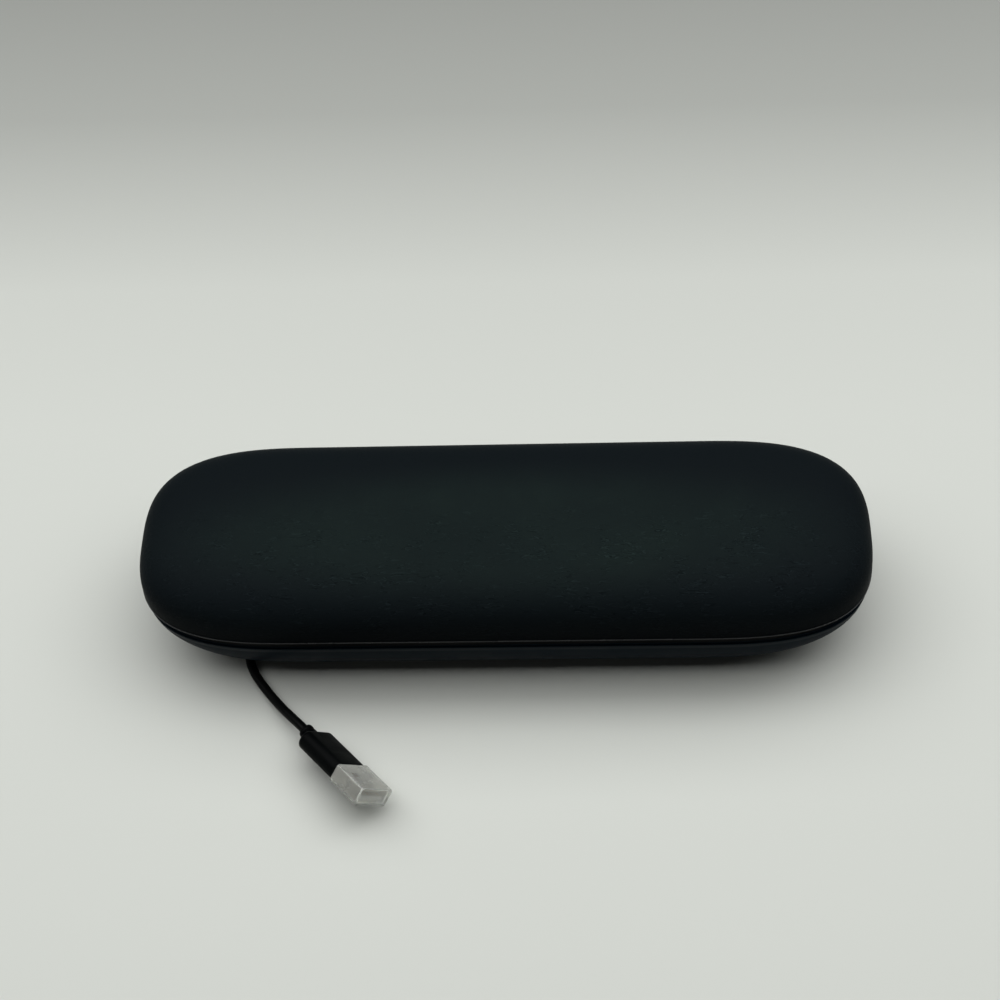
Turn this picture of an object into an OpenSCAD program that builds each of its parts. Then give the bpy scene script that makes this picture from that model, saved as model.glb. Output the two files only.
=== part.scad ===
// Hard travel case for an electric toothbrush, with a leather-covered lid,
// a charger inside and a USB cable that winds up under the base.
// Millimetres, +Z up. The origin is the middle of the pad that the case rests on.
// The front, which opens, faces -Y, and the hinge is at the back.

/* [Case] */
// Length of the closed case
case_l = 230; // [227:1:240]
// Width of the closed case, without the hinge barrel
case_w = 69; // [68:0.5:76]
// Height of the closed case
case_h = 45.9; // [45:0.1:50]
// Length of the straight part of each long side
side_l = 120; // [114:1:124]
// Squareness of the rounded ends, 2 for an ellipse
end_power = 3; // [2.8:0.1:3.4]

/* [Lid] */
// Height of the lower edge of the lid's leather
lid_edge = 26.9; // [26.7:0.1:28]
// Height of the frame's lip inside the lid
lip_h = 1.7; // [1.4:0.1:2]
// Squareness of the lid's cross-section
lid_power = 3.4; // [3.2:0.1:4]
// Thickness of the leather with its foam backing
cover_t = 0.9; // [0.7:0.1:1.2]
// Thickness of the hard shell under the leather
lid_shell_t = 1.4; // [1.2:0.1:1.6]
// Thickness of the soft liner inside the lid
liner_t = 1.0; // [0.8:0.1:1.2]
// Height of the bright trim at the lid's edge
trim_h = 1.0; // [0.8:0.1:1.2]
// How far the trim stands out from the leather
trim_proud = 0.2; // [0.1:0.05:0.4]
// Width of each foam pad in the lid, along the case
pad_l = 16; // [10:1:24]
// Distance between the two foam pads
pad_pitch = 90; // [70:1:110]
// How far each foam pad hangs down from the lid's ceiling
pad_h = 8.8; // [7:0.1:9.4]

/* [Base] */
// Height of the base shell's rim
base_rim = 23.2; // [23:0.1:23.6]
// How far the base stands back from the lid's edge
base_inset = 0.6; // [0.5:0.1:0.8]
// Wall of the base shell
base_wall = 1.6; // [1.4:0.1:1.8]
// Depth of the whole curve that the base's side follows
base_depth = 31.6; // [31.2:0.2:34]
// Squareness of the base's cross-section
base_power = 2; // [1.95:0.05:2.3]
// How much faster the ends of the base draw in than its sides
base_taper = 1.6; // [1.3:0.1:1.6]
// Height of the rubber pads that the case stands on
foot_h = 0.8; // [0.6:0.1:1]
// Length of each side foot
foot_l = 32; // [20:1:40]
// Width of the pad in the middle
rest_w = 15; // [10:0.5:18]

/* [Rim frames] */
// Height of the parting plane between lid and base
parting = 25.2; // [25.1:0.1:25.4]
// Gap between the two frames when the lid is shut
parting_gap = 0.4; // [0.3:0.1:0.6]
// How far the frames stand back from the lid's edge
frame_inset = 1.2; // [1.1:0.1:1.4]
// Width of the frames, from their outer edge inwards
frame_w = 4.2; // [3.8:0.1:4.6]
// Width of the rubber seal
seal_w = 1.4; // [1:0.1:1.6]
// Depth of the groove that the seal sits in
seal_groove = 0.6; // [0.4:0.1:0.8]
// How far the seal stands up from its groove
seal_proud = 0.2; // [0.1:0.05:0.3]

/* [Hinge] */
// Length of the hinge
hinge_l = 60; // [40:1:70]
// Number of knuckles, the outer ones on the base
knuckles = 5; // [3:2:7]
// Distance of the hinge's axis behind the case's edge
hinge_back = 1.7; // [1.6:0.1:2]
// Diameter of the hinge barrel
barrel_d = 5.6; // [5:0.1:5.8]
// Diameter of the hinge pin
pin_d = 2; // [1.5:0.1:2.5]
// Radial running gap of the pin in the lid's knuckles
pin_gap = 0.06; // [0.04:0.01:0.1]
// Gap between neighbouring knuckles
knuckle_gap = 0.3; // [0.2:0.1:0.5]

/* [Handle recess] */
// Diameter of the toothbrush handle that the recess is made for
handle_d = 28; // [24:0.5:28]
// Length of the handle's round body
handle_body_l = 151; // [140:1:151]
// Length of the handle's tapered neck
neck_l = 39; // [30:1:39]
// Diameter at the end of the neck
neck_d = 17; // [12:1:20]
// Gap round the handle
handle_gap = 0.8; // [0.6:0.1:1.2]
// Wall of the tray
tray_wall = 1.4; // [1.2:0.1:1.6]
// Width of each rubber rest in the recess
rest_l = 9; // [6:1:14]
// Distance between the two rubber rests
rest_pitch = 96; // [80:1:110]

/* [Brush head pockets] */
// Length of each pocket
head_l = 76; // [70:1:76]
// Width of each pocket
head_w = 17.2; // [15:0.1:17.4]
// Gap between the two pockets
head_gap = 4; // [3.4:0.1:6]
// Distance from the case's left end to the first pocket
head_end = 28.5; // [28:0.1:29.5]

/* [Charger] */
// Distance from the case's right end to the face of the charging cup
cup_end = 23.3; // [23:0.1:25]
// Diameter of the cup that holds the coil
cup_d = 25; // [22:0.5:25]
// Depth of the cup
cup_l = 8; // [8:0.1:8.4]
// Wall of the cup
cup_wall = 1.2; // [1:0.1:1.4]
// Outer diameter of the coil
coil_d = 18; // [15:0.5:18]
// Length of the coil along its axis
coil_l = 1.9; // [1.5:0.1:1.9]
// Length of the circuit board
board_l = 19; // [14:1:19]
// Width of the circuit board
board_w = 15; // [12:1:15]
// Thickness of the circuit board
board_t = 1.4; // [1:0.1:1.6]
// Distance from the case's right end to the circuit board
board_end = 21.7; // [21.5:0.1:22.5]

/* [Closing magnets] */
// Diameter of each magnet
magnet_d = 4; // [3:0.1:4]
// Height of each magnet
magnet_h = 2; // [1.5:0.1:2.5]
// Distance between neighbouring magnets
magnet_pitch = 40; // [30:1:42]

/* [Cable] */
// Diameter of the cable
cable_d = 3; // [2.6:0.1:3]
// Radius of the inner lane of the groove at its ends
lane_r = 13; // [12:0.1:13]
// Distance between the two lanes
lane_pitch = 3.6; // [3.5:0.05:3.7]
// Direction on the left end in which the cable leaves the groove
exit_angle = 192; // [191:1:198]
// Height of the cable's middle in the groove
lane_z = 2.9; // [2.8:0.1:3]
// Clearance round the cable in its groove
lane_gap = 0.3; // [0.2:0.05:0.35]

/* [Plug] */
// Width of the plug's metal shell
plug_w = 12; // [11.9:0.05:12.1]
// Height of the plug's metal shell
plug_h = 4.5; // [4.4:0.05:4.6]
// Length of the plug's metal shell
plug_l = 12; // [11.5:0.1:12.3]
// Sheet thickness of the metal shell
plug_sheet = 0.3; // [0.25:0.05:0.4]
// Wall of the translucent cap
cap_wall = 0.65; // [0.5:0.05:0.8]
// Thickness of the cap's closed end
cap_end = 1.1; // [0.8:0.1:1.4]
// Gap between the cap and the metal shell
cap_gap = 0.12; // [0.1:0.01:0.2]
// Width of the moulded grip
grip_w = 13.3; // [12.6:0.1:14]
// Thickness of the moulded grip
grip_h = 6.2; // [5.6:0.1:6.4]
// Length of the moulded grip without its neck
grip_l = 18; // [16:0.5:20]
// Length of the neck that relieves the cable
relief_l = 4.5; // [4:0.5:6]

/* [Hidden] */
$fn = 48;

// Straight steps in a quarter of the outline, and in the lid's and the base's curve
end_steps = 12;
lid_angles = [0, 9, 17, 25, 32, 39, 45, 51, 58, 66, 76];
base_steps = 8;
// Length that a cutting shape runs past what it cuts
over = 1;
// Glue line between the layers of the lid
glue = 0.1;
// Slack of a dropped-in piece
slack = 0.15;

// Outline of the case
end_x = case_l / 2 - side_l / 2;
end_y = case_w / 2;
lid_h = case_h - lid_edge;
cover_inset = trim_proud;
shell_inset = cover_inset + cover_t + glue;
liner_inset = shell_inset + lid_shell_t + 2 * glue;
frame_top = lid_edge + lip_h;
lid_ceiling = lid_edge + lid_h - liner_inset - liner_t + cover_inset;

// The base: the plane it stands on, its floor and its rim
base_z = foot_h;
base_floor = base_z + base_wall;
wall_in = base_inset + base_wall;
base_frame_top = parting - parting_gap / 2;
lid_frame_bottom = parting + parting_gap / 2;
frame_in = frame_inset + frame_w;
frame_step = wall_in + 0.2;
tray_inset = wall_in + 0.7;

// The hinge
hinge_y = end_y + hinge_back;
knuckle_l = hinge_l / knuckles;
hinge_slot = hinge_l + 0.8;
block_y = hinge_y - barrel_d / 2 - 0.4;
block_in = end_y - frame_in;
block_h = barrel_d / 2 - 0.2;
deck_z = base_frame_top - block_h;

// Groove for the cable
groove_in = lane_r - cable_d / 2 - lane_gap;
groove_out = lane_r + lane_pitch + cable_d / 2 + lane_gap;
groove_roof = lane_z + cable_d / 2 + 0.5;
plate_wall = 1.6;
plate_r = groove_out + plate_wall;
plate_top = groove_roof + 1.5;
plate_lip = 1.2;
lip_end = 0.35;
plate_edge = 0.6;
tab_l = 8;
tab_t = 0.4;
tab_pitch = 44;

// Share of its width that the base still has at a height, and how far its end then reaches
function base_share(inset, z) =
    pow(1 - pow((base_rim - z) / (base_depth - inset + base_inset), base_power), 1 / base_power);
function base_reach(inset, z) = side_l / 2 + (end_x - inset) * pow(base_share(inset, z), base_taper);
lane_x = min(base_reach(wall_in, base_floor) - lip_end, base_reach(base_inset, base_z) - plate_edge)
    - plate_r - slack;
exit_dir = exit_angle + 90;

// The handle's recess: its axis, its radius and where it starts and ends
recess_r = handle_d / 2 + handle_gap;
handle_y = -8.5;
handle_z = plate_top + 0.2 + tray_wall + recess_r;
cup_x = case_l / 2 - cup_end;
body_end = cup_x - handle_body_l;
neck_end = body_end - neck_l;

// The head pockets
pocket_r = head_w / 2;
pocket_y = handle_y + recess_r + pocket_r + 2 * tray_wall + slack;
pocket_z = handle_z - 4.2;
pocket_x = head_end - case_l / 2;

// The circuit board, which hangs under the tray
board_x = case_l / 2 - board_end - board_l;
board_y = handle_y + recess_r + tray_wall + 0.3;
board_z = plate_top + 2.6;
post_d = 4;
board_screw_d = 1.6;
lead_stop = board_x + 6;
lead_y = board_y + board_w / 2;
lead_d = 2;
wire_d = 0.8;
board_posts = [[board_x + 3, board_y + 3], [board_x + 3, board_y + board_w - 3]];

// Screws through the bottom plate, and the bosses that they go into
screw_d = 2.2;
screw_head_d = 4;
screw_head_h = 1.2;
boss_d = 5;
screw_bite = 2.6;
screw_y = 4;
screw_spots = [for (x = [-lane_x - 6, 20 - lane_x, lane_x - 20, lane_x + 6]) [x, screw_y]];

// The magnets, in bosses behind the front rim
magnet_y = -(end_y - frame_in) + magnet_d / 2 + 0.5;
magnet_wall = 0.8;
magnet_spots = [for (i = [-1.5, -0.5, 0.5, 1.5]) i * magnet_pitch];

// The gland: the cable starts at its left face, and the inner lead leaves its right face
gland_x = board_x - 24.5;
gland_y = lane_r;
gland_l = 6;
lead_slot = 9;
gland_w = cable_d + 2 * lane_gap;

// The plug lies on its edge in front of the case: its mouth, heading, tilt and roll
plug_at = [-47.14, -69.71, 9.25];
plug_turn = -48.2;
plug_tilt = 8.7;
plug_roll = -49.2;
plug_axis = [cos(plug_turn) * cos(plug_tilt), sin(plug_turn) * cos(plug_tilt), sin(plug_tilt)];
relief_end = plug_at - (grip_l + relief_l) * plug_axis;
relief_d = 4.8;

// The cable from the groove to the plug, as points chosen by hand
tail_points = [[-84.4, -14.8, 2.5], [-83.7, -18.9, 2.0], [-82.95, -23.0, 1.7], [-82.0, -26.8, 1.6],
    [-80.3, -30.4, 1.6], [-78.1, -33.7, 1.6], [-75.7, -36.9, 1.7], [-73.0, -40.4, 2.2],
    [-70.0, -44.1, 3.3], [-67.0, -47.55, 4.4]];

// Point on a quarter turn of the case's end, at a polar angle
function end_point(a) =
    let (r = pow(pow(abs(cos(a)), end_power) + pow(abs(sin(a)), end_power), -1 / end_power))
    [r * cos(a), r * sin(a)];

// The outline drawn in by an inset, its ends and sides scaled by kx and ky
function outline(inset, kx = 1, ky = 1) = [
    for (side = [1, -1], i = [-end_steps : end_steps])
        let (p = end_point(i * 90 / end_steps) * side)
        [side * side_l / 2 + (end_x - inset) * kx * p[0], (end_y - inset) * ky * p[1]]];

function ring(inset, kx, ky, z) = [for (p = outline(inset, kx, ky)) [p[0], p[1], z]];

// Point of a cross-section's quarter curve of the given squareness, at a polar angle
function curve(power, a) =
    let (r = pow(pow(cos(a), power) + pow(sin(a), power), -1 / power))
    [r * cos(a), r * sin(a)];

// Closed solid through a stack of rings, the lowest first
module stack(rings) {
    n = len(rings[0]);
    top = (len(rings) - 1) * n;
    sides = [
        for (j = [0 : len(rings) - 2], i = [0 : n - 1])
            let (a = j * n + i, b = j * n + (i + 1) % n)
            each [[a, a + n, b + n], [a, b + n, b]]];
    polyhedron(
        points = [for (r = rings) each r],
        faces = concat([[for (i = [0 : n - 1]) i]], sides, [[for (i = [n - 1 : -1 : 0]) top + i]]));
}

// Solid dome of the lid, drawn in by an inset all over, with a skirt below its edge
module lid_dome(inset, skirt = 0) {
    rise = lid_h - inset + cover_inset;
    rings = [
        for (a = lid_angles)
            let (c = curve(lid_power, a))
            ring(inset, c[0], c[0], lid_edge + rise * c[1])];
    crown = ring(inset, 0.12, 0.12, lid_edge + rise);
    below = skirt > 0 ? [ring(inset, 1, 1, lid_edge - skirt)] : [];
    stack(concat(below, rings, [crown]));
}

// Solid bowl of the base, drawn in by an inset, down to a flat floor
module base_bowl(inset, floor_z, rise = 0) {
    depth = base_depth - inset + base_inset;
    last = atan2((base_rim - floor_z) / depth, base_share(inset, floor_z));
    rings = [
        for (i = [base_steps : -1 : 0])
            let (c = curve(base_power, last * i / base_steps))
            ring(inset, pow(c[0], base_taper), c[0], base_rim - depth * c[1])];
    above = rise > 0 ? [ring(inset, 1, 1, base_rim + rise)] : [];
    stack(concat(rings, above));
}

// Flat slab of the case's outline, and the same as a ring
module slab(inset, z0, z1) {
    translate([0, 0, z0]) linear_extrude(z1 - z0) polygon(outline(inset));
}

module ring_slab(outer, inner, z0, z1) {
    difference() {
        slab(outer, z0, z1);
        slab(inner, z0 - over, z1 + over);
    }
}

// Round-ended bar along X, about the middle of the case
module stadium(r, z0, z1, x = lane_x) {
    translate([0, 0, z0]) {
        for (s = [-1, 1]) translate([s * x, 0, 0]) cylinder(r = r, h = z1 - z0);
        translate([-x, -r, 0]) cube([2 * x, 2 * r, z1 - z0]);
    }
}

// Cylinder along X on a given axis
module rod(r, x0, x1, y, z, r_end = -1) {
    translate([x0, y, z]) rotate([0, 90, 0])
        cylinder(r1 = r, r2 = r_end < 0 ? r : r_end, h = x1 - x0);
}

// Slab along X from 0 to its length, with rounded corners
module rounded_bar(length, w, h, r) {
    rotate([90, 0, 90]) linear_extrude(length) {
        square([w - 2 * r, h], center = true);
        square([w, h - 2 * r], center = true);
        for (i = [-1, 1], j = [-1, 1]) translate([i * (w / 2 - r), j * (h / 2 - r)]) circle(r = r, $fn = 32);
    }
}

// Opening for the hinge in the walls of lid and base
module hinge_cut(z0, z1) {
    translate([-hinge_slot / 2, block_in, z0]) cube([hinge_slot, 2 * frame_w + 4, z1 - z0]);
}

// Start of knuckle number i, counted from the left, 0 first
function knuckle_x(i) = -hinge_l / 2 + i * knuckle_l;

// Knuckles and their arms for one leaf of the hinge: up is 1 for the lid and -1 for the base
module knuckle_row(first, up, bore_d) {
    for (i = [first : 2 : knuckles - 1]) {
        x0 = knuckle_x(i) + knuckle_gap / 2;
        l = knuckle_l - knuckle_gap;
        z0 = up > 0 ? lid_frame_bottom : parting - barrel_d / 2;
        difference() {
            union() {
                rod(barrel_d / 2, x0, x0 + l, hinge_y, parting);
                translate([x0, block_y - over, z0]) cube([l, hinge_y - block_y + over, block_h]);
            }
            rod(bore_d / 2, x0 - over, x0 + l + over, hinge_y, parting);
        }
    }
}

module hinge_block(z0) {
    translate([-hinge_slot / 2, block_in, z0]) cube([hinge_slot, block_y - block_in, block_h]);
}

// Tube of a given diameter along points, with rings turned about the direction "up"
function unit(v) = v / norm(v);
function tangent(p, i) =
    i == 0 ? unit(p[1] - p[0]) :
    i == len(p) - 1 ? unit(p[i] - p[i - 1]) :
    unit(unit(p[i + 1] - p[i]) + unit(p[i] - p[i - 1]));

module tube(p, d, sides, up = [0, 0, 1]) {
    n = len(p);
    points = [
        for (i = [0 : n - 1])
            let (t = tangent(p, i), side = unit(cross(t, up)), top = cross(side, t))
            for (j = [0 : sides - 1])
                let (a = (j + 0.5) * 360 / sides)
                p[i] + d / 2 * (side * cos(a) + top * sin(a))];
    walls = [
        for (i = [0 : n - 2], j = [0 : sides - 1])
            let (a = i * sides + j, b = i * sides + (j + 1) % sides)
            each [[a, b, b + sides], [a, b + sides, a + sides]]];
    polyhedron(
        points = points,
        faces = concat([[for (j = [sides - 1 : -1 : 0]) j]], walls,
            [[for (j = [0 : sides - 1]) (n - 1) * sides + j]]));
}

// The cable's route in its groove: one and a half turns from the gland to the exit
function lane_arc(x, r, from, to, steps) = [
    for (i = [0 : steps])
        let (a = from + (to - from) * i / steps)
        [x + r * cos(a), r * sin(a), lane_z]];

outer_r = lane_r + lane_pitch;
arc_steps = 11;
exit_steps = 6;
exit_point = [-lane_x + outer_r * cos(exit_angle), outer_r * sin(exit_angle), lane_z];
exit_unit = [cos(exit_dir), sin(exit_dir), 0];
stored_end = exit_point + exit_unit * (cable_d + 0.5);
stored_route = concat(
    [[gland_x, gland_y, lane_z], [gland_x - cable_d - 0.5, gland_y, lane_z]],
    lane_arc(-lane_x, lane_r, 90, 270, arc_steps),
    lane_arc(lane_x, outer_r, -90, 90, arc_steps),
    lane_arc(-lane_x, outer_r, 90, exit_angle, exit_steps),
    [stored_end]);

// Distance from a point to a straight piece of the route
function to_segment(p, a, b) =
    let (t = (p - a) * (b - a) / ((b - a) * (b - a)))
    norm(p - a - min(max(t, 0), 1) * (b - a));

function route_length(p) = len(p) < 2 ? 0 : [for (i = 0, s = 0; i < len(p); i = i + 1,
    s = s + (i < len(p) ? norm(p[i] - p[i - 1]) : 0)) s][len(p) - 1];

// Least gap between turns, from each point to the straight pieces of the other turns
turn_gap = min([
    for (i = [0 : len(stored_route) - 1], j = [0 : len(stored_route) - 2])
        if (abs(i - j) > arc_steps)
            to_segment(stored_route[i], stored_route[j], stored_route[j + 1]) - cable_d]);

tail_route = concat(
    [stored_end, stored_end + exit_unit * (cable_d + 1)],
    tail_points,
    [relief_end - plug_axis * (cable_d + 0.5), relief_end]);

union() {
    echo(str("least gap between the turns of the stored cable: ", turn_gap, " mm"));
    echo(str("stored cable: ", route_length(stored_route), " mm, tail: ", route_length(tail_route), " mm"));
}

// Where the cable comes out under the left end
module exit_cut() {
    w = cable_d + 4 * lane_gap;
    translate([exit_point[0], exit_point[1], base_z - over]) rotate([0, 0, exit_dir])
        translate([-cable_d / 2, -w / 2, 0]) cube([2 * plate_r, w, groove_roof - base_z + over]);
}

// The plug's own frame: X from the grip to the tip, Y across, origin at the mouth
module plug_frame() {
    translate(plug_at) rotate([0, 0, plug_turn]) rotate([0, -plug_tilt, 0]) rotate([plug_roll, 0, 0])
        children();
}

// Lid

module lid_cover() {
    color([0.09, 0.10, 0.11]) difference() {
        lid_dome(cover_inset);
        lid_dome(cover_inset + cover_t, over);
        hinge_cut(lid_edge - over, lid_frame_bottom + block_h + 0.4);
    }
}

module lid_trim() {
    color([0.25, 0.26, 0.27]) difference() {
        ring_slab(0, frame_inset, lid_edge - trim_h, lid_edge);
        hinge_cut(parting, lid_edge + over);
    }
}

module lid_shell() {
    color([0.12, 0.12, 0.13]) difference() {
        lid_dome(shell_inset);
        lid_dome(shell_inset + lid_shell_t, over);
        hinge_cut(lid_edge - over, lid_frame_bottom + block_h + 0.4);
    }
}

module magnet_boss(x, z0, z1) {
    w = magnet_d + 2 * magnet_wall;
    translate([x, magnet_y, z0]) cylinder(d = w, h = z1 - z0);
    translate([x - w / 2, -(end_y - frame_in) - over, z0])
        cube([w, magnet_y + end_y - frame_in + over, z1 - z0]);
}

module lid_frame() {
    color([0.05, 0.05, 0.06]) difference() {
        union() {
            difference() {
                union() {
                    ring_slab(frame_inset, frame_in, lid_frame_bottom, lid_edge);
                    ring_slab(liner_inset, frame_in, lid_edge - over, frame_top);
                }
                hinge_cut(lid_frame_bottom - over, lid_frame_bottom + block_h);
            }
            hinge_block(lid_frame_bottom);
            knuckle_row(1, 1, pin_d + 2 * pin_gap);
            for (x = magnet_spots) magnet_boss(x, lid_frame_bottom, frame_top);
        }
        for (x = magnet_spots) translate([x, magnet_y, lid_frame_bottom - over])
            cylinder(d = magnet_d, h = magnet_h + over);
    }
}

module lid_magnets() {
    color([0.75, 0.76, 0.78]) for (x = magnet_spots)
        translate([x, magnet_y, lid_frame_bottom]) cylinder(d = magnet_d, h = magnet_h);
}

module lid_liner() {
    color([0.30, 0.31, 0.33]) difference() {
        lid_dome(liner_inset);
        lid_dome(liner_inset + liner_t, over);
        slab(0, lid_edge - over, frame_top);
    }
}

// Foam pads that hold the handle down
module lid_pads() {
    color([0.35, 0.36, 0.38]) difference() {
        intersection() {
            lid_dome(liner_inset + liner_t + slack);
            union() for (s = [-1, 1])
                translate([s * pad_pitch / 2 - pad_l / 2, handle_y - recess_r, lid_ceiling - pad_h])
                    cube([pad_l, 2 * recess_r, pad_h + over]);
        }
        rod(handle_d / 2 + slack, -case_l, case_l, handle_y, handle_z);
    }
}

// Base

module base_shell() {
    color([0.07, 0.08, 0.09]) difference() {
        base_bowl(base_inset, base_z);
        base_bowl(wall_in, base_floor, over);
        stadium(plate_r + slack, base_z - over, base_floor + over);
        hinge_cut(parting - barrel_d / 2 - 0.2, base_rim + over);
        exit_cut();
    }
}

module base_frame() {
    seal_in = frame_step + 0.4;
    color([0.05, 0.05, 0.06]) difference() {
        union() {
            difference() {
                union() {
                    ring_slab(frame_inset, frame_in, base_rim, base_frame_top);
                    ring_slab(frame_step, frame_in, deck_z, base_frame_top);
                }
                hinge_cut(base_frame_top - block_h, base_frame_top + over);
            }
            hinge_block(base_frame_top - block_h);
            knuckle_row(0, -1, pin_d);
            for (x = magnet_spots) magnet_boss(x, deck_z, base_frame_top);
        }
        ring_slab(seal_in, seal_in + seal_w, base_frame_top - seal_groove, base_frame_top + over);
        for (x = magnet_spots) translate([x, magnet_y, base_frame_top - magnet_h])
            cylinder(d = magnet_d, h = magnet_h + over);
    }
}

module rim_seal() {
    seal_in = frame_step + 0.4;
    color([0.03, 0.03, 0.03])
        ring_slab(seal_in, seal_in + seal_w, base_frame_top - seal_groove, base_frame_top + seal_proud);
}

module base_magnets() {
    color([0.75, 0.76, 0.78]) for (x = magnet_spots)
        translate([x, magnet_y, base_frame_top - magnet_h]) cylinder(d = magnet_d, h = magnet_h);
}

module hinge_pin() {
    color([0.7, 0.71, 0.73]) rod(pin_d / 2, -hinge_l / 2, hinge_l / 2, hinge_y, parting);
}

// Space that the handle takes, from its base at the cup to the end of its neck
module handle_space(r, grow = 0) {
    rod(r, body_end, cup_x + grow, handle_y, handle_z);
    rod(neck_d / 2 + r - handle_d / 2, neck_end - grow, body_end, handle_y, handle_z, r);
}

module pocket_space(r, grow = 0) {
    for (i = [0, 1]) {
        x0 = pocket_x + i * (head_l + head_gap);
        rod(r, x0 - grow, x0 + head_l + grow, pocket_y, pocket_z);
    }
}

// Pocket for the charging cup, at the end of the handle's recess
module cup_space(grow = 0) {
    x0 = grow > 0 ? cup_x : cup_x - over;
    rod(cup_d / 2 + slack + grow, x0, cup_x + cup_l + slack + grow, handle_y, handle_z);
}

// Deck of the tray, with the openings of the troughs that hang under it
module inner_tray() {
    color([0.16, 0.17, 0.18]) difference() {
        union() {
            slab(tray_inset, deck_z - tray_wall, deck_z);
            for (p = board_posts) translate([p[0], p[1], board_z + board_t])
                cylinder(d = post_d, h = deck_z - board_z - board_t);
        }
        handle_space(recess_r);
        cup_space();
        pocket_sides(pocket_r);
        for (p = board_posts) translate([p[0], p[1], board_z]) cylinder(d = board_screw_d, h = 6);
    }
}

// Trough for the handle and the cup, with the bosses that hold the bottom plate
module handle_trough() {
    color([0.16, 0.17, 0.18]) difference() {
        intersection() {
            slab(tray_inset, plate_top, deck_z - tray_wall);
            union() {
                handle_space(recess_r + tray_wall, tray_wall);
                cup_space(tray_wall);
                for (p = screw_spots) translate([p[0], p[1], plate_top])
                    cylinder(d = boss_d, h = deck_z - plate_top);
            }
        }
        handle_space(recess_r);
        cup_space();
        for (p = screw_spots) translate([p[0], p[1], plate_top - over])
            cylinder(d = screw_d, h = screw_bite + over + slack);
        lead_hole();
    }
}

// Troughs for the two brush heads
module head_troughs() {
    color([0.16, 0.17, 0.18]) difference() {
        intersection() {
            slab(tray_inset, plate_top, deck_z - tray_wall);
            union() {
                pocket_space(pocket_r + tray_wall, tray_wall);
                pocket_sides(pocket_r + tray_wall, tray_wall);
            }
        }
        pocket_space(pocket_r);
        pocket_sides(pocket_r);
    }
}

// Straight sides of the head pockets, from their axis up
module pocket_sides(r, grow = 0) {
    for (i = [0, 1]) {
        x0 = pocket_x + i * (head_l + head_gap);
        translate([x0 - grow, pocket_y - r, pocket_z])
            cube([head_l + 2 * grow, 2 * r, deck_z - pocket_z + grow]);
    }
}

module handle_rests() {
    color([0.45, 0.46, 0.48]) intersection() {
        difference() {
            handle_space(recess_r);
            rod(handle_d / 2 + slack, -case_l, case_l, handle_y, handle_z);
        }
        union() for (s = [-1, 1])
            translate([(body_end + cup_x + s * rest_pitch - rest_l) / 2, handle_y - recess_r, 0])
                cube([rest_l, 2 * recess_r, deck_z]);
    }
}

// Charger

cavity_r = cup_d / 2 - cup_wall;
coil_x = cup_x + cup_wall + 1;
bobbin_t = 0.5;

// Hole for the coil's leads, low on the side towards the board
lead_angle = -30;
lead_x = coil_x + bobbin_t + coil_l / 2;

module lead_hole() {
    translate([lead_x, handle_y, handle_z]) rotate([lead_angle, 0, 0]) rotate([-90, 0, 0])
        translate([0, 0, coil_d / 2]) cylinder(d = 3, h = 7);
}

module charging_cup() {
    color([0.10, 0.11, 0.12]) difference() {
        rod(cup_d / 2, cup_x, cup_x + cup_l, handle_y, handle_z);
        rod(cavity_r, cup_x + cup_wall, cup_x + cup_l + over, handle_y, handle_z);
        lead_hole();
    }
}

module coil_bobbin() {
    color([0.85, 0.83, 0.78]) difference() {
        union() {
            rod(coil_d / 2, coil_x, coil_x + bobbin_t, handle_y, handle_z);
            rod(coil_d / 2, coil_x + bobbin_t + coil_l, coil_x + 2 * bobbin_t + coil_l, handle_y, handle_z);
            rod(coil_d / 4, coil_x, coil_x + 2 * bobbin_t + coil_l, handle_y, handle_z);
        }
        rod(coil_d / 4 - bobbin_t, coil_x - over, coil_x + coil_l + over * 2, handle_y, handle_z);
    }
}

module charging_coil() {
    color([0.72, 0.40, 0.20]) difference() {
        rod(coil_d / 2 - bobbin_t, coil_x + bobbin_t, coil_x + bobbin_t + coil_l, handle_y, handle_z);
        rod(coil_d / 4, coil_x, coil_x + coil_l + over * 2, handle_y, handle_z);
    }
}

module coil_core() {
    back = coil_x + 2 * bobbin_t + coil_l;
    color([0.22, 0.22, 0.23]) {
        rod(coil_d / 4 - bobbin_t - slack, coil_x, back, handle_y, handle_z);
        rod(cavity_r - slack, back, cup_x + cup_l - cup_wall, handle_y, handle_z);
    }
}

module coil_back() {
    color([0.10, 0.11, 0.12])
        rod(cavity_r - slack / 2, cup_x + cup_l - cup_wall, cup_x + cup_l, handle_y, handle_z);
}

// Point on the leads' hole, at a distance from the handle's axis
function lead_point(x, r) = [x, handle_y + r * cos(lead_angle), handle_z + r * sin(lead_angle)];

module coil_leads() {
    lead_top = board_z + board_t + 0.5;
    color([0.75, 0.15, 0.12]) for (s = [-0.5, 0.5]) {
        x = lead_x + s * 0.9;
        tube([lead_point(x, coil_d / 2 - bobbin_t), lead_point(x, coil_d / 2 + 1.5),
            lead_point(x, coil_d / 2 + 5), [x - 1, board_y + 0.5, lead_top + 1.4],
            [x - 3, board_y + 2, lead_top + 0.2], [x - 4.5, board_y + 3.2, lead_top]],
            wire_d, 8, [1, 0, 0]);
    }
}

module circuit_board() {
    color([0.08, 0.30, 0.16]) difference() {
        translate([board_x, board_y, board_z]) cube([board_l, board_w, board_t]);
        for (p = board_posts) translate([p[0], p[1], board_z - over])
            cylinder(d = board_screw_d + 0.2, h = board_t + 2 * over);
    }
}

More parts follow.
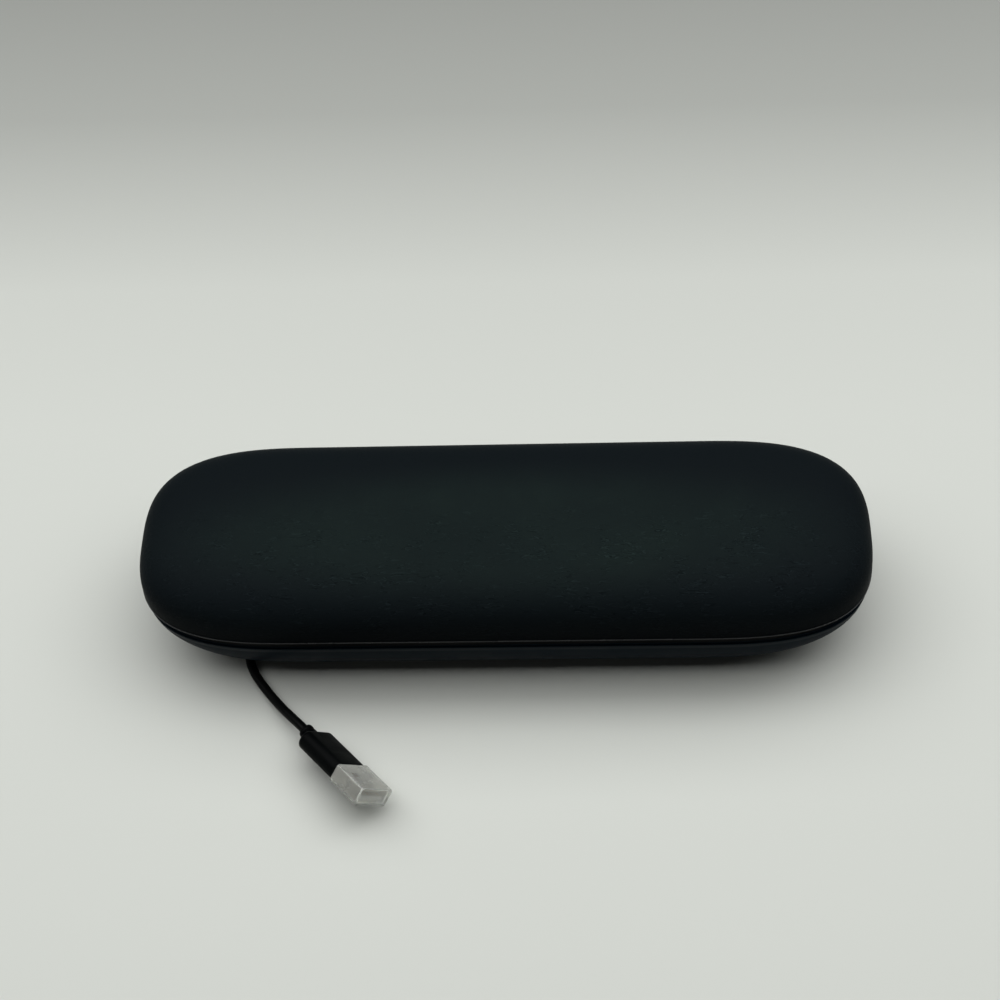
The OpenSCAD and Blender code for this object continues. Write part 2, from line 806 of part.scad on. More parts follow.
module board_parts() {
    top = board_z + board_t;
    color([0.12, 0.12, 0.12]) {
        translate([board_x + 6.5, board_y + 8.4, top]) cube([4, 4, 1.1]);
        translate([lead_stop, lead_y - 1.8, board_z - 2.4]) cube([3.4, 3.6, 2.4]);
        translate([board_x + 13.5, board_y + board_w - 3.5, top]) cylinder(d = 4.4, h = 3.4);
    }
}

module board_screws() {
    color([0.7, 0.71, 0.73]) for (p = board_posts) translate([p[0], p[1], board_z]) {
        translate([0, 0, -1]) cylinder(d = 3, h = 1);
        cylinder(d = board_screw_d, h = 5);
    }
}

// The inner end of the cable, from the gland up through the bottom plate to the board
module power_lead() {
    x0 = gland_x + gland_l;
    run = lead_stop - x0;
    z1 = board_z - 0.65 * lead_d;
    color([0.06, 0.06, 0.07]) tube([[x0, gland_y, lane_z], [x0 + lead_d, gland_y, lane_z],
        [x0 + 2.1 * lead_d, gland_y, lane_z + 0.6 * lead_d],
        [x0 + 3 * lead_d, gland_y, lane_z + 1.5 * lead_d],
        [x0 + 4.1 * lead_d, gland_y, z1 - 0.15 * lead_d], [x0 + 5.5 * lead_d, gland_y, z1],
        [x0 + 0.65 * run, gland_y + 0.5, z1], [x0 + 0.82 * run, lead_y - 0.5, z1],
        [lead_stop - 1.1 * lead_d, lead_y, z1], [lead_stop, lead_y, z1]], lead_d, 8, [0, 1, 0]);
}

// Bottom plate, with the cable's groove in its underside

module groove_cut() {
    difference() {
        stadium(groove_out, base_z - over, groove_roof);
        stadium(groove_in, base_z - 2 * over, groove_roof + over);
    }
}

// Tabs that keep the cable in its groove, on the straights and the ends
module groove_tabs() {
    w = groove_out - groove_in + 2 * slack;
    for (x = [-tab_pitch, 0, tab_pitch], s = [-1, 1])
        translate([x - tab_l / 2, s * (groove_out + groove_in) / 2 - w / 2, base_z])
            cube([tab_l, w, tab_t]);
}

module bottom_plate() {
    color([0.07, 0.08, 0.09]) difference() {
        union() {
            difference() {
                stadium(plate_r, base_z, plate_top);
                groove_cut();
            }
            difference() {
                stadium(plate_r + plate_lip, base_floor, base_floor + plate_lip,
                    lane_x - plate_lip + lip_end);
                stadium(plate_r - slack, base_floor - over, base_floor + plate_lip + over);
            }
            groove_tabs();
        }
        exit_cut();
        translate([gland_x + gland_l, gland_y - gland_w / 2, groove_roof - over])
            cube([lead_slot, gland_w, plate_top]);
        for (p = screw_spots) translate([p[0], p[1], base_z - over]) {
            cylinder(d = screw_d + 0.3, h = plate_top + over);
            cylinder(d = screw_head_d + 0.3, h = screw_head_h + 0.2 + over);
        }
    }
}

module bottom_screws() {
    color([0.7, 0.71, 0.73]) for (p = screw_spots) translate([p[0], p[1], 0]) {
        head_top = base_z + 0.2 + screw_head_h;
        translate([0, 0, base_z + 0.2]) cylinder(d = screw_head_d, h = screw_head_h);
        translate([0, 0, head_top]) cylinder(d = screw_d, h = plate_top + screw_bite - head_top);
    }
}

module rest_pad() {
    color([0.10, 0.10, 0.10]) stadium(rest_w / 2, 0, foot_h, lane_x / 2);
}

module side_feet() {
    flat_y = (end_y - base_inset) * base_share(base_inset, base_z);
    w = flat_y - plate_r - slack - 0.8;
    color([0.10, 0.10, 0.10]) for (i = [-1, 1], s = [-1, 1])
        translate([i * (side_l - foot_l) / 2 - foot_l / 2, s * (flat_y + plate_r + slack) / 2 - w / 2, 0])
            cube([foot_l, w, foot_h]);
}

module cable_gland() {
    color([0.06, 0.06, 0.07]) translate([gland_x, gland_y - gland_w / 2, base_z + tab_t])
        cube([gland_l, gland_w, groove_roof - base_z - tab_t]);
}

// Cable

module stored_cable() {
    color([0.06, 0.06, 0.07]) tube(stored_route, cable_d, 6);
}

module cable_tail() {
    color([0.06, 0.06, 0.07]) tube(tail_route, cable_d, 8);
}

// Plug

module plug_grip() {
    corner_r = 1.2;
    color([0.06, 0.06, 0.07]) plug_frame() {
        translate([-grip_l, 0, 0]) rounded_bar(grip_l, grip_w, grip_h, corner_r);
        rod(relief_d / 2, -grip_l - relief_l, -grip_l, 0, 0);
    }
}

module plug_shell() {
    color([0.78, 0.79, 0.80]) plug_frame() difference() {
        translate([0, -plug_w / 2, -plug_h / 2]) cube([plug_l, plug_w, plug_h]);
        translate([-over, -plug_w / 2 + plug_sheet, -plug_h / 2 + plug_sheet])
            cube([plug_l + 2 * over, plug_w - 2 * plug_sheet, plug_h - 2 * plug_sheet]);
        for (s = [-1, 1]) translate([4.2, s * plug_w / 4 - 1.25, 0]) cube([2.3, 2.5, plug_h]);
    }
}

module plug_tongue() {
    color([0.9, 0.9, 0.88]) plug_frame()
        translate([0, -plug_w / 2 + plug_sheet + 0.1, -plug_h / 2 + plug_sheet])
            cube([plug_l - 0.6, plug_w - 2 * plug_sheet - 0.2, 1.9]);
}

module plug_contacts() {
    color([0.85, 0.68, 0.30]) plug_frame() for (y = [-3.5, -1, 1, 3.5])
        translate([1, y - 0.6, -plug_h / 2 + plug_sheet + 1.9]) cube([plug_l - 2.4, 1.2, 0.15]);
}

module plug_cap() {
    w = plug_w + 2 * (cap_gap + cap_wall);
    h = plug_h + 2 * (cap_gap + cap_wall);
    mouth_x = 0.1;
    color([0.82, 0.84, 0.84, 0.7]) plug_frame() difference() {
        translate([mouth_x, 0, 0]) rounded_bar(plug_l + 2 * cap_gap + cap_end - mouth_x, w, h, cap_wall);
        translate([-over, -plug_w / 2 - cap_gap, -plug_h / 2 - cap_gap])
            cube([plug_l + over + 2 * cap_gap, plug_w + 2 * cap_gap, plug_h + 2 * cap_gap]);
    }
}

lid_cover();
lid_trim();
lid_shell();
lid_frame();
lid_liner();
lid_pads();
lid_magnets();
base_shell();
base_frame();
rim_seal();
base_magnets();
hinge_pin();
inner_tray();
handle_trough();
head_troughs();
handle_rests();
charging_cup();
charging_coil();
coil_bobbin();
coil_core();
coil_back();
coil_leads();
circuit_board();
board_parts();
board_screws();
power_lead();
bottom_plate();
bottom_screws();
rest_pad();
side_feet();
cable_gland();
stored_cable();
cable_tail();
plug_grip();
plug_shell();
plug_tongue();
plug_contacts();
plug_cap();
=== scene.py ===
import math

import bmesh
import bpy
from mathutils import Matrix, Quaternion, Vector


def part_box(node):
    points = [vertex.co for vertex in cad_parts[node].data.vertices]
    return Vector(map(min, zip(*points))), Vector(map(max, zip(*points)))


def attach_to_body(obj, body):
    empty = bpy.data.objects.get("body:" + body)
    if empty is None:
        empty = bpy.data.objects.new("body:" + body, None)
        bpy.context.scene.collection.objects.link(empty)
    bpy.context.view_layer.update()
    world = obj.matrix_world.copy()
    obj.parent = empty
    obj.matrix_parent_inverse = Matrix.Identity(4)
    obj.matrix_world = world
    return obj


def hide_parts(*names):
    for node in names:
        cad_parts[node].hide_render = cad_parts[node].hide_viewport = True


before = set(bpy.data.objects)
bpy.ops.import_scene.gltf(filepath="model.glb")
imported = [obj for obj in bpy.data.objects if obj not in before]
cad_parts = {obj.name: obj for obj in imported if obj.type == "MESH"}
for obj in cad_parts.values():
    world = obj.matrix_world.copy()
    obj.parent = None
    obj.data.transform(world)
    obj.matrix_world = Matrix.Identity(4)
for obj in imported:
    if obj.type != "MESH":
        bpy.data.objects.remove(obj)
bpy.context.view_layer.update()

MM = 0.001

# The case's outline: two straight sides and two round ends, fitted to the boxes of its pieces
trim_low, trim_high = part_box("lid_trim")
cover_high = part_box("lid_cover")[1]
shell_low, shell_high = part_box("base_shell")
plate_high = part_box("bottom_plate")[1]
SIDE_L = 120 * MM
END_X = trim_high.x - SIDE_L / 2
END_Y = -trim_low.y
END_POWER = 3.0

# The lid
LID_EDGE = trim_high.z
LID_H = cover_high.z - LID_EDGE
LID_POWER = 3.4
COVER_INSET = trim_high.x - cover_high.x
COVER_T = 0.9 * MM
LINER_INSET = 2.8 * MM
LINER_T = 1.0 * MM
FRAME_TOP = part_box("lid_frame")[1].z
TRIM_H = trim_high.z - trim_low.z
TRIM_W = 1.2 * MM
BEAD_H = 0.32 * MM
GROOVE = 0.7 * MM
# Height of the trim's top that keeps its own finish; below it the trim's groove is painted with
# shade
BRIGHT_H = 0.4 * MM
PAD_L = 16 * MM
PAD_FRONT = -23.3 * MM
PAD_BACK = 6.3 * MM

# The base
BASE_INSET = trim_high.x - shell_high.x
BASE_RIM = shell_high.z
BASE_Z = shell_low.z
BASE_WALL = 1.6 * MM
BASE_DEPTH = 31.6 * MM
BASE_POWER = 2.0
BASE_TAPER = 1.6
# A lighter band on the base's wall from 2.3 mm to 0.8 mm below its rim: a painted highlight
HIGHLIGHT_BAND_TOP = BASE_RIM - 0.8 * MM
HIGHLIGHT_BAND_FOOT = BASE_RIM - 2.3 * MM

# The hinge's opening in the back wall: half its length, and its heights in the lid and in the base
HINGE_HALF = 30.4 * MM
HINGE_TOP = 28.4 * MM
HINGE_BOTTOM = 22.2 * MM

# The handle that the recess is made for
HANDLE_R = 14.15 * MM
HANDLE_Y = -8.5 * MM
HANDLE_Z = 22.8 * MM

# The cable's groove under the case, and its plug, with angles in degrees
CABLE_D = 3.0 * MM
PLATE_R = 20.0 * MM
LANE_R = 13.0 * MM
LANE_PITCH = 3.6 * MM
LANE_Z = 2.9 * MM
LANE_X = plate_high.x - PLATE_R - 0.35 * MM
EXIT_ANGLE = 192
GLAND_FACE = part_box("cable_gland")[0].x
PLUG_AT = Vector((-47.14, -69.71, 9.25)) * MM
PLUG_TURN = -48.2
PLUG_TILT = 8.7
PLUG_ROLL = -49.2
GRIP_L = 18.0 * MM
RELIEF_L = 4.5 * MM
PLUG_L = 12.0 * MM
PLUG_W = 12.0 * MM
PLUG_H = 4.5 * MM
CAP_GAP = 0.12 * MM
CAP_WALL = 0.65 * MM
CAP_END = 1.1 * MM


# Camera

def make_camera():
    """The camera, at the place, aim and roll that the case's outline gives in the photograph."""
    place = Vector((0.0345, -0.3537, 0.5499))
    aim = Vector((-0.0019, 0.0215, 0.0229))
    roll = math.radians(-5.384)
    data = bpy.data.cameras.new("camera")
    data.sensor_width = 36
    data.lens = 72
    camera = bpy.data.objects.new("camera", data)
    bpy.context.scene.collection.objects.link(camera)
    camera.rotation_mode = "QUATERNION"
    camera.location = place
    looking = (aim - place).to_track_quat("-Z", "Y")
    camera.rotation_quaternion = looking @ Quaternion((0, 0, 1), roll)
    bpy.context.scene.camera = camera


# Making pieces

def shade(bm, sharp_angle):
    """Smooth faces, with the edges past an angle left sharp."""
    for face in bm.faces:
        face.smooth = True
    for edge in bm.edges:
        if len(edge.link_faces) == 2:
            edge.smooth = edge.calc_face_angle(0) < math.radians(sharp_angle)


def keep(name, bm, sharp_angle=40):
    """The mesh as an object, merged, facing outwards and shaded."""
    bmesh.ops.remove_doubles(bm, verts=bm.verts, dist=0.0005 * MM)
    bmesh.ops.recalc_face_normals(bm, faces=bm.faces)
    shade(bm, sharp_angle)
    mesh = bpy.data.meshes.new(name)
    bm.to_mesh(mesh)
    bm.free()
    made = bpy.data.objects.new(name, mesh)
    bpy.context.scene.collection.objects.link(made)
    return made


def loft(bm, rings, capped=False):
    """Skin through rings of points, each extruded from the one before it."""
    order = bm.verts.layers.int.get("order") or bm.verts.layers.int.new("order")
    verts = bmesh.ops.create_circle(bm, segments=len(rings[0]), radius=1, cap_ends=capped)["verts"]
    for i, v in enumerate(verts):
        v[order] = i
        v.co = rings[0][i]
    edges = [e for e in bm.edges if e.verts[0] in verts and e.verts[1] in verts]
    for ring in rings[1:]:
        made = bmesh.ops.extrude_edge_only(bm, edges=edges)["geom"]
        verts = [g for g in made if isinstance(g, bmesh.types.BMVert)]
        fresh = set(verts)
        edges = [g for g in made if isinstance(g, bmesh.types.BMEdge)
                 and g.verts[0] in fresh and g.verts[1] in fresh]
        for v in verts:
            v.co = ring[v[order]]
    if capped:
        bmesh.ops.contextual_create(bm, geom=edges)


def quarter(start, stop, steps, level_first=False):
    """Points on a quarter ellipse from start to stop, which it leaves upright, or level."""
    points = []
    across, up = stop[0] - start[0], stop[1] - start[1]
    for i in range(steps + 1):
        turn = math.radians(90 * i / steps)
        slow, quick = 1 - math.cos(turn), math.sin(turn)
        level, upright = (quick, slow) if level_first else (slow, quick)
        points.append((start[0] + across * level, start[1] + up * upright))
    return points


def attach(piece, body, slot, material, *nodes):
    """Gives a piece its body, its material and the nodes that it stands for; the slot is not used.
    """
    piece.data.materials.clear()
    piece.data.materials.append(material)
    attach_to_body(piece, body)
    if nodes:
        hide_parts(*nodes)
    return piece


def refinish(piece, material, low, high):
    """Another material on the faces that lie between two heights."""
    piece.data.materials.append(material)
    for face in piece.data.polygons:
        if low < face.center.z < high:
            face.material_index = 1


# Cord

def arc(x, r, start, stop, steps):
    """Points of the cable on an arc of the groove."""
    turns = [math.radians(start + (stop - start) * i / steps) for i in range(steps + 1)]
    return [Vector((x + r * math.cos(a), r * math.sin(a), LANE_Z)) for a in turns]


def smooth_route(points, steps):
    """Points along one smooth curve through the given ones."""
    ends = [2 * points[0] - points[1]] + list(points) + [2 * points[-1] - points[-2]]
    route = []
    for a, b, c, d in zip(ends, ends[1:], ends[2:], ends[3:]):
        for i in range(steps):
            t = i / steps
            route.append(0.5 * (2 * b + (c - a) * t + (2 * a - 5 * b + 4 * c - d) * t ** 2
                                + (3 * b - a - 3 * c + d) * t ** 3))
    return route + [points[-1]]


def cable_curve(name, route, diameter):
    """A round cable along a route."""
    data = bpy.data.curves.new(name, "CURVE")
    data.dimensions = "3D"
    data.bevel_depth = diameter / 2
    data.bevel_resolution = 6
    data.use_fill_caps = True
    spline = data.splines.new("POLY")
    spline.points.add(len(route) - 1)
    for point, place in zip(spline.points, route):
        point.co = (*place, 1)
    made = bpy.data.objects.new(name, data)
    bpy.context.scene.collection.objects.link(made)
    return made


# The cable's points from the groove to the plug
TAIL = [(-84.4, -14.8, 2.5), (-83.7, -18.9, 2.0), (-82.95, -23.0, 1.7), (-82.0, -26.8, 1.6),
        (-80.3, -30.4, 1.6), (-78.1, -33.7, 1.6), (-75.7, -36.9, 1.7), (-73.0, -40.4, 2.2),
        (-70.0, -44.1, 3.3), (-67.0, -47.55, 4.4)]


def plug_frame():
    """The plug's own frame: X runs to its tip, and the origin is at the grip's mouth."""
    turn = Matrix.Rotation(math.radians(PLUG_TURN), 4, "Z")
    tilt = Matrix.Rotation(math.radians(-PLUG_TILT), 4, "Y")
    roll = Matrix.Rotation(math.radians(PLUG_ROLL), 4, "X")
    return Matrix.Translation(PLUG_AT) @ turn @ tilt @ roll


def exit_point():
    """Where the cable leaves the groove's outer lane, seen from above, and its heading there."""
    angle = math.radians(EXIT_ANGLE)
    outwards = Vector((math.cos(angle), math.sin(angle), 0))
    heading = Vector((-math.sin(angle), math.cos(angle), 0))
    return Vector((-LANE_X, 0, 0)) + (LANE_R + LANE_PITCH) * outwards, heading


def cable_route():
    """From the gland, round the groove one and a half times, and out to the plug's collar."""
    outer = LANE_R + LANE_PITCH
    steps = 36
    place, heading = exit_point()
    stored_end = place + Vector((0, 0, LANE_Z)) + heading * (CABLE_D + 0.5 * MM)
    stored = ([Vector((GLAND_FACE, LANE_R, LANE_Z))]
              + arc(-LANE_X, LANE_R, 90, 270, steps)
              + arc(LANE_X, outer, -90, 90, steps)
              + arc(-LANE_X, outer, 90, EXIT_ANGLE, 20))
    along = plug_frame().to_3x3() @ Vector((1, 0, 0))
    relief_end = PLUG_AT - (GRIP_L + RELIEF_L) * along
    tail = ([stored_end, stored_end + heading * (CABLE_D + MM)]
            + [Vector(p) * MM for p in TAIL]
            + [relief_end - along * (CABLE_D + 0.5 * MM), relief_end])
    return stored + smooth_route(tail, 5)


make_camera()
cable_path = cable_route()
cable = cable_curve("cable", cable_path, CABLE_D)


# Materials

def add(tree, kind, **values):
    """A node with its properties and its unlinked sockets set."""
    node = tree.nodes.new(kind)
    for name, value in values.items():
        if hasattr(node, name) and name not in node.inputs:
            setattr(node, name, value)
        else:
            node.inputs[name].default_value = value
    return node


def group(name, measures, results):
    """An empty node group that takes coordinates and measures, with its input and output nodes."""
    tree = bpy.data.node_groups.new(name, "ShaderNodeTree")
    tree.interface.new_socket("Vector", in_out="INPUT", socket_type="NodeSocketVector")
    for socket in measures:
        tree.interface.new_socket(socket, in_out="INPUT", socket_type="NodeSocketFloat")
    for socket in results:
        tree.interface.new_socket(socket, in_out="OUTPUT", socket_type="NodeSocketFloat")
    return tree, tree.nodes.new("NodeGroupInput"), tree.nodes.new("NodeGroupOutput")


def over(tree, value):
    """One divided by a value."""
    share = add(tree, "ShaderNodeMath", operation="DIVIDE")
    share.inputs[0].default_value = 1
    tree.links.new(value, share.inputs[1])
    return share.outputs[0]


def product(tree, first, second):
    """Two values multiplied."""
    times = add(tree, "ShaderNodeMath", operation="MULTIPLY")
    tree.links.new(first, times.inputs[0])
    tree.links.new(second, times.inputs[1])
    return times.outputs[0]


def stepped(tree, value, low, high):
    """Smooth step of a value, from 0 at low to 1 at high."""
    mask = add(tree, "ShaderNodeMapRange", interpolation_type="SMOOTHSTEP")
    mask.inputs["From Min"].default_value = low
    mask.inputs["From Max"].default_value = high
    tree.links.new(value, mask.inputs["Value"])
    return mask.outputs["Result"]


def drawn_out(tree, given):
    """A group's coordinates, drawn out along X by its Stretch."""
    along = add(tree, "ShaderNodeCombineXYZ", Y=1, Z=1)
    tree.links.new(over(tree, given.outputs["Stretch"]), along.inputs["X"])
    place = add(tree, "ShaderNodeVectorMath", operation="MULTIPLY")
    tree.links.new(given.outputs["Vector"], place.inputs[0])
    tree.links.new(along.outputs[0], place.inputs[1])
    return place.outputs[0]


def grain_group():
    """Fine grain that can be drawn out along X: a height, and a mask of its hollows."""
    tree, given, result = group("fine_grain", ["Size", "Stretch"], ["Height", "Mask"])
    link = tree.links.new
    place = drawn_out(tree, given)
    scale = over(tree, given.outputs["Size"])
    noise = add(tree, "ShaderNodeTexNoise", Detail=3, Roughness=0.6)
    cells = add(tree, "ShaderNodeTexVoronoi", Randomness=1)
    for texture in (noise, cells):
        link(place, texture.inputs["Vector"])
        link(scale, texture.inputs["Scale"])
    height = add(tree, "ShaderNodeMix", Factor=0.4)
    link(noise.outputs["Fac"], height.inputs["A"])
    link(cells.outputs["Distance"], height.inputs["B"])
    link(height.outputs["Result"], result.inputs["Height"])
    link(stepped(tree, noise.outputs["Fac"], 0.4, 0.66), result.inputs["Mask"])
    return tree


def handling_group():
    """Broad soft patches, such as handling leaves, from 0 to 1."""
    tree, given, result = group("handling", ["Size"], ["Mask"])
    noise = add(tree, "ShaderNodeTexNoise", Detail=5, Roughness=0.62, Distortion=0.4)
    tree.links.new(given.outputs["Vector"], noise.inputs["Vector"])
    tree.links.new(over(tree, given.outputs["Size"]), noise.inputs["Scale"])
    tree.links.new(stepped(tree, noise.outputs["Fac"], 0.36, 0.68), result.inputs["Mask"])
    return tree


def crease_group():
    """Short thin creases along X: masks of their lines and of the edges beside them, where the
    leather paints shade and highlight.
    """
    tree, given, result = group("creases", ["Size", "Stretch"], ["Line", "Edge"])
    link = tree.links.new
    noise = add(tree, "ShaderNodeTexNoise", Detail=1.5, Roughness=0.5, Distortion=0.5)
    link(drawn_out(tree, given), noise.inputs["Vector"])
    link(over(tree, given.outputs["Size"]), noise.inputs["Scale"])
    width = 0.03
    for name, level in (("Line", 0.5), ("Edge", 0.545)):
        apart = add(tree, "ShaderNodeMath", operation="SUBTRACT")
        apart.inputs[1].default_value = level
        link(noise.outputs["Fac"], apart.inputs[0])
        size = add(tree, "ShaderNodeMath", operation="ABSOLUTE")
        link(apart.outputs[0], size.inputs[0])
        link(stepped(tree, size.outputs[0], width, 0), result.inputs[name])
    return tree


FINE_GRAIN = grain_group()
CREASES = crease_group()
HANDLING = handling_group()


def placed(tree, group_tree, **values):
    """A group's node, reading the piece's own coordinates."""
    node = tree.nodes.new("ShaderNodeGroup")
    node.node_tree = group_tree
    for name, value in values.items():
        node.inputs[name].default_value = value
    place = tree.nodes.get("Texture Coordinate") or tree.nodes.new("ShaderNodeTexCoord")
    tree.links.new(place.outputs["Object"], node.inputs["Vector"])
    return node


def principled(name, roughness, metallic=0.0, specular=0.5):
    """A material and its shader, with the values that are the same all over."""
    made = bpy.data.materials.new(name)
    made.use_nodes = True
    shader = made.node_tree.nodes["Principled BSDF"]
    shader.inputs["Roughness"].default_value = roughness
    shader.inputs["Metallic"].default_value = metallic
    shader.inputs["Specular IOR Level"].default_value = specular
    return made, shader


def mixed(tree, mask, first, second, blend="MIX"):
    """Colour by a mask between two, each given as three numbers or as a socket."""
    mix = add(tree, "ShaderNodeMix", data_type="RGBA", blend_type=blend)
    for socket, colour in ((mix.inputs[6], first), (mix.inputs[7], second)):
        if isinstance(colour, tuple):
            socket.default_value = (*colour, 1)
        else:
            tree.links.new(colour, socket)
    tree.links.new(mask, mix.inputs["Factor"])
    return mix.outputs[2]


def ranged(tree, mask, low, high):
    """A value between two, by a mask."""
    span = add(tree, "ShaderNodeMapRange")
    span.inputs["To Min"].default_value = low
    span.inputs["To Max"].default_value = high
    tree.links.new(mask, span.inputs["Value"])
    return span.outputs["Result"]


def bumped(tree, height, depth, below=None):
    """A normal bumped by a height, on top of another normal."""
    bump = add(tree, "ShaderNodeBump", Strength=1.0, Distance=depth)
    tree.links.new(height, bump.inputs["Height"])
    if below:
        tree.links.new(below, bump.inputs["Normal"])
    return bump.outputs["Normal"]


def finish(name, dark, light, roughness, grain, depth, spread=0.1, metallic=0.0, specular=0.5,
           stretch=1.0, patches=30):
    """Moulded, rubber or metal finish: two tones in broad patches, and a fine grain."""
    made, shader = principled(name, roughness, metallic, specular)
    tree = made.node_tree
    fine = placed(tree, FINE_GRAIN, Size=grain * MM, Stretch=stretch)
    broad = placed(tree, HANDLING, Size=patches * MM)
    tree.links.new(mixed(tree, broad.outputs["Mask"], dark, light), shader.inputs["Base Color"])
    tree.links.new(ranged(tree, broad.outputs["Mask"], roughness - spread, roughness + spread),
                   shader.inputs["Roughness"])
    tree.links.new(bumped(tree, fine.outputs["Height"], depth * MM), shader.inputs["Normal"])
    return made


def leather_finish():
    """Near-black coated leather: a pebble grain, short creases at the front, painted light on the
    top and painted shade at the lower edge.
    """
    made, shader = principled("leather", 0.5, specular=0.012)
    tree = made.node_tree
    link = tree.links.new
    broad = placed(tree, HANDLING, Size=45 * MM)
    patch = placed(tree, HANDLING, Size=9 * MM)
    crease = placed(tree, CREASES, Size=1.0 * MM, Stretch=5)
    pebble = placed(tree, FINE_GRAIN, Size=0.4 * MM, Stretch=1.4)
    place = tree.nodes["Texture Coordinate"].outputs["Object"]
    split = tree.nodes.new("ShaderNodeSeparateXYZ")
    link(place, split.inputs[0])

    # Painted highlight: a lighter tone on an oval round the middle front of the lid's top, where
    # the light's reflection falls, broken up by broad patches
    lit_spot_x, lit_spot_y = 126 * MM, 29 * MM
    lit_spot = add(tree, "ShaderNodeMapping")
    lit_spot.inputs["Scale"].default_value = (1 / lit_spot_x, 1 / lit_spot_y, 0)
    lit_spot.inputs["Location"].default_value = (0, 0.22, 0)
    link(place, lit_spot.inputs["Vector"])
    out = add(tree, "ShaderNodeVectorMath", operation="LENGTH")
    link(lit_spot.outputs[0], out.inputs[0])
    middle = stepped(tree, out.outputs["Value"], 1.0, 0.42)
    worn_and_lit = product(tree, middle, ranged(tree, broad.outputs["Mask"], 0.65, 1.0))
    plain_tone = (0.0056, 0.0081, 0.0096)
    worn_and_lit_tone = (0.0092, 0.0150, 0.0144)
    # Painted shade: the leather darkens towards the lid's lower edge, fully from 2 mm below it,
    # fading out 13 mm above it
    painted_shade_tone = (0.0003, 0.0014, 0.0022)
    rise = stepped(tree, split.outputs["Z"], LID_EDGE - 2 * MM, LID_EDGE + 13 * MM)
    colour = mixed(tree, rise, painted_shade_tone, mixed(tree, worn_and_lit, plain_tone, worn_and_lit_tone))

    front = stepped(tree, split.outputs["Y"], 10 * MM, -12 * MM)
    folded = product(tree, patch.outputs["Mask"], ranged(tree, front, 0.12, 1.0))
    # Painted shade along each crease's line and a painted highlight along the edges beside it
    for mask, painted_light_factor in (("Line", (0.5, 0.52, 0.54)), ("Edge", (1.75, 1.75, 1.75))):
        shown = product(tree, crease.outputs[mask], folded)
        colour = mixed(tree, shown, colour, painted_light_factor, "MULTIPLY")
    link(colour, shader.inputs["Base Color"])
    link(ranged(tree, pebble.outputs["Mask"], 0.45, 0.58), shader.inputs["Roughness"])
    grained = bumped(tree, pebble.outputs["Height"], 0.03 * MM)
    link(bumped(tree, shown, 0.05 * MM, grained), shader.inputs["Normal"])
    return made


def cap_finish():
    """Frosted, milky plastic that lets the metal show through."""
    made, shader = principled("frosted_cap", 0.24)
    tree = made.node_tree
    shader.inputs["IOR"].default_value = 1.45
    shader.inputs["Transmission Weight"].default_value = 0.88
    shader.inputs["Alpha"].default_value = 0.9
    fine = placed(tree, FINE_GRAIN, Size=0.25 * MM, Stretch=1)
    broad = placed(tree, HANDLING, Size=5 * MM)
    tree.links.new(mixed(tree, broad.outputs["Mask"], (0.93, 0.94, 0.91), (0.97, 0.98, 0.95)),
                   shader.inputs["Base Color"])
    tree.links.new(ranged(tree, broad.outputs["Mask"], 0.20, 0.28), shader.inputs["Roughness"])
    tree.links.new(bumped(tree, fine.outputs["Height"], 0.01 * MM), shader.inputs["Normal"])
    return made


def cloth_finish(name, dark, light, pile):
    """Flocked or foamed surface: a soft pile with a little sheen."""
    made, shader = principled(name, 0.92, specular=0.2)
    tree = made.node_tree
    shader.inputs["Sheen Weight"].default_value = 0.25
    shader.inputs["Sheen Roughness"].default_value = 0.5
    fine = placed(tree, FINE_GRAIN, Size=pile * MM, Stretch=1)
    broad = placed(tree, HANDLING, Size=20 * MM)
    tree.links.new(mixed(tree, fine.outputs["Mask"], dark, light), shader.inputs["Base Color"])
    tree.links.new(ranged(tree, broad.outputs["Mask"], 0.84, 0.98), shader.inputs["Roughness"])
    tree.links.new(bumped(tree, fine.outputs["Height"], 0.6 * pile * MM), shader.inputs["Normal"])
    return made


# Each finish has two tones, a roughness, and the size and depth of its grain in millimetres
LEATHER = leather_finish()
TRIM = finish("trim", (0.014, 0.016, 0.017), (0.021, 0.023, 0.024), 0.26, 0.6, 0.004,
              spread=0.06, specular=0.4)
# Near-black frame plastic, which also stands as painted shade in the trim's groove
FRAME_BLACK_AND_PAINTED_SHADE = finish("frame_black_and_painted_shade", (0.0010, 0.0013, 0.0016), (0.0018, 0.0021, 0.0024), 0.55, 0.3,
                     0.02, specular=0.03)
SHELL_BLACK = finish("shell_black", (0.0012, 0.0046, 0.0084), (0.0017, 0.0062, 0.0108), 0.46, 0.28,
                     0.012, spread=0.05, specular=0.03)
# Lighter black for the band below the base's rim: a painted highlight
PAINTED_HIGHLIGHT_BAND = finish("painted_highlight_band", (0.0044, 0.0084, 0.0118), (0.0054, 0.0100, 0.0138), 0.42, 0.28,
                    0.008, spread=0.05, specular=0.05)
TRAY = finish("tray", (0.030, 0.032, 0.034), (0.042, 0.044, 0.046), 0.58, 0.4, 0.03, specular=0.35)
LID_CORE = finish("lid_core", (0.012, 0.012, 0.013), (0.018, 0.018, 0.019), 0.6, 0.4, 0.03)
GREY_RUBBER = finish("grey_rubber", (0.10, 0.10, 0.105), (0.14, 0.14, 0.145), 0.75, 0.3, 0.02,
                     specular=0.3)
BLACK_RUBBER = finish("black_rubber", (0.008, 0.008, 0.008), (0.016, 0.016, 0.016), 0.72, 0.3, 0.02,
                      specular=0.3)
CUP = finish("cup", (0.010, 0.011, 0.012), (0.014, 0.015, 0.016), 0.24, 0.5, 0.004, spread=0.06)
STEEL = finish("steel", (0.50, 0.50, 0.51), (0.62, 0.62, 0.63), 0.34, 0.2, 0.004, metallic=1.0,
               stretch=12)
